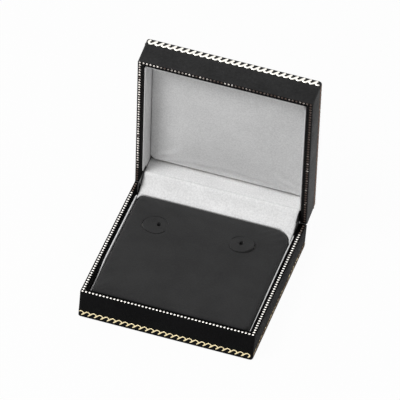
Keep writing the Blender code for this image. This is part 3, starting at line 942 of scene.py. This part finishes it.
def satin_column(x, pad_high, from_lid, foot):
    """The middle line of the hinge satin in one column, as pairs of y and z: from the lid down
    to the foot behind the pad, and on over the shelf behind the pad's round shoulder."""
    radius = shoulder_radii["left" if x < 0 else "right"]
    beyond = max(0, abs(x) - (pad_high.x - radius))
    arc = radius + strip_gap + strip_thickness / 2
    edge_y = pad_high.y - radius + math.sqrt(max(arc ** 2 - beyond ** 2, 0))
    run = edge_y - foot[0]
    shelf = foot[1] - shoulder_drop * (shelf_shares[0]
                                       + shelf_shares[1] * min(1, -run / shelf_run))
    sag = ((from_lid[-1][0] + foot[0]) / 2 + strip_sag,
           (from_lid[-1][1] + foot[1]) / 2 - strip_sag)
    points = [*from_lid, sag, foot,
              (foot[0] + run * shelf_middle[0], shelf + shelf_middle[1]),
              (foot[0] + run, shelf), (edge_y, shelf - shelf_end_drop)]
    return curve_through(points, strip_steps) + [points[-1]]


def make_hinge_satin(material):
    """The satin sheet over the hinge: it wraps the rear lining's end, runs down to the pad
    and fills the corners behind the pad's round shoulders."""
    pad_high = base.box("pad_velour")[1]
    low, high = lid.box("lid_rear_lining")
    turn = Matrix.Rotation(-open_angle, 3, 'X')
    reach = strip_thickness / 2
    rim_edge = low.z - strip_gap - reach
    in_lid = ((high.y - wrap_start[0], rim_edge + wrap_start[1]),
              (low.y + wrap_turn, rim_edge),
              (low.y + reach, rim_edge + wrap_tilt),
              (low.y + reach, rim_edge - wrap_drop))
    from_lid = [(turn @ Vector((0, y, z))).yz[:] for y, z in in_lid]
    foot = (pad_high.y + strip_gap + reach, base.level(strip_foot_depth))
    wide, deep = strip_wave_sizes
    bm = bmesh.new()
    grid = []
    for i in range(strip_columns + 1):
        x = satin_reach * (2 * i / strip_columns - 1)
        column = []
        for y, z in satin_column(x, pad_high, from_lid, foot):
            ripple = strip_waves * noise.noise(Vector((x / wide, y / deep, z / deep)))
            column.append(bm.verts.new((x, y - ripple, z + ripple)))
        grid.append(column)
    for first, second in zip(grid, grid[1:]):
        for j in range(len(first) - 1):
            bm.faces.new((first[j], first[j + 1], second[j + 1], second[j]))
    piece = new_piece("hinge_satin", bm, base.place, material, None, smooth=60)
    cloth = piece.modifiers.new("cloth", 'SOLIDIFY')
    cloth.thickness = strip_thickness
    cloth.offset = 0
    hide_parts("hinge_satin_strip")
    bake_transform(piece)


def make_pin_ends(material):
    """The outer ends of the hinge pins, between the two rims."""
    outer = base.box("base_covering")[1].x - pin_outer_inset
    inner = base.box("base_side_lining")[1].x + pin_inner_gap
    bm = bmesh.new()
    for side in (-1, 1):
        made = bmesh.ops.create_cone(bm, segments=pin_sides, radius1=pin_radius,
                                     radius2=pin_radius, depth=outer - inner, cap_ends=True)
        turn = Matrix.Translation((side * (outer + inner) / 2, 0, 0)) @ \
            Matrix.Rotation(math.pi / 2, 4, 'Y')
        bmesh.ops.transform(bm, matrix=turn, verts=made["verts"])
    new_piece("hinge_pin_ends", bm, base.place, material, "base", smooth=40)


# The stage and the camera

def seen_or_mirrored(tree):
    """1 for rays that come from the camera, a reflection or through glass, otherwise 0."""
    path = add(tree, "LightPath")
    seen = add(tree, "Math", {0: path.outputs["Is Camera Ray"],
                              1: path.outputs["Is Glossy Ray"]}, operation='MAXIMUM')
    seen = add(tree, "Math", {0: seen.outputs[0], 1: path.outputs["Is Transmission Ray"]},
               operation='MAXIMUM')
    return seen.outputs[0]


def make_floor():
    """A plain floor that keeps the soft shadow; the camera, metal and glass mostly see it
    glow white."""
    bm = bmesh.new()
    bmesh.ops.create_grid(bm, x_segments=1, y_segments=1, size=floor_reach)
    floor = new_object("floor", bm)
    floor.location.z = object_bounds()[0].z
    material = bpy.data.materials.new("white_floor")
    material.use_nodes = True
    tree = material.node_tree
    tree.nodes.clear()
    share = add(tree, "Math", {0: seen_or_mirrored(tree), 1: floor_glow_share},
                operation='MULTIPLY')
    plain = add(tree, "BsdfDiffuse", {"Color": (floor_white, floor_white, floor_white, 1)})
    glow = add(tree, "Emission", {"Color": (1, 1, 1, 1), "Strength": 1.0})
    mixed = add(tree, "MixShader", {0: share.outputs[0], 1: plain.outputs[0],
                                    2: glow.outputs[0]})
    add(tree, "OutputMaterial", {"Surface": mixed.outputs[0]})
    floor.data.materials.append(material)


def make_light():
    """The sky, a large key lamp and a weak fill."""
    world = bpy.data.worlds.new("sky")
    bpy.context.scene.world = world
    world.use_nodes = True
    tree = world.node_tree
    tree.nodes.clear()
    strength = ramp(tree, seen_or_mirrored(tree), 0.0, 1.0, sky_strength, 1.0)
    sky = add(tree, "Background", {"Color": (1, 1, 1, 1), "Strength": strength})
    add(tree, "OutputWorld", {"Surface": sky.outputs[0]})

    for name, place, power, size in (("key", key_place, key_power, key_size),
                                     ("fill", fill_place, fill_power, fill_size)):
        lamp = bpy.data.lights.new(name, 'AREA')
        lamp.shape = 'DISK'
        lamp.size = size
        lamp.energy = power
        thing = bpy.data.objects.new(name, lamp)
        bpy.context.scene.collection.objects.link(thing)
        thing.location = place
        thing.rotation_euler = (camera_target - place).to_track_quat('-Z', 'Y').to_euler()


def make_camera():
    """The camera that was fitted to the photograph, rolled a little."""
    back = Vector((math.sin(camera_azimuth) * math.cos(camera_elevation),
                   -math.cos(camera_azimuth) * math.cos(camera_elevation),
                   math.sin(camera_elevation)))
    level = (-back).cross(Vector((0, 0, 1))).normalized()
    upright = level.cross(-back)
    right = math.cos(camera_roll) * level + math.sin(camera_roll) * upright
    up = math.cos(camera_roll) * upright - math.sin(camera_roll) * level
    camera = bpy.data.objects.new("camera", bpy.data.cameras.new("camera"))
    camera.data.lens = camera_lens
    camera.data.clip_start = camera_distance / camera_clip_ratio
    camera.data.clip_end = camera_distance * camera_clip_ratio
    camera.matrix_world = Matrix.Translation(camera_target + back * camera_distance) @ \
        Matrix((right, up, back)).transposed().to_4x4()
    bpy.context.scene.collection.objects.link(camera)
    bpy.context.scene.camera = camera


def build():
    """Dress both halves, then everything that the box holds."""
    stuff = make_materials()
    for half in (base, lid):
        name = half.name
        dress_node(name + "_covering", stuff[name + "_leatherette"], edge_softness)
        dress_node(name + "_tray", stuff["tray"])
        scroll = make_scroll(half, stuff[name + "_foil"])
        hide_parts(name + "_scroll_border")
        beads = make_beads(half, stuff[name + "_beads"])
        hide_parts(name + "_bead_line")
    make_lining("base_side_lining", "base_side_satin", base, stuff["satin"],
                lining_roundings["side"], sink_lining)
    make_lining("lid_side_lining", "lid_side_satin", lid, stuff["satin"],
                lining_roundings["side"])
    make_lining("lid_rear_lining", "lid_rear_satin", lid, stuff["satin"],
                lining_roundings["rear"], widen_satin)
    make_leaf("hinge_base_leaf", "base_leaf", base, *base_ear, stuff["enamel"])
    make_leaf("hinge_lid_leaf", "lid_leaf", lid, *lid_ear, stuff["enamel"])
    make_panel(stuff["satin"])
    make_pad(stuff["velour"])
    make_hinge_satin(stuff["satin"])
    make_pin_ends(stuff["enamel"])
    for node, finish in plain_nodes.items():
        dress_node(node, stuff[finish])


build()
make_camera()
bpy.context.scene.view_settings.view_transform = 'Standard'
make_floor()
make_light()
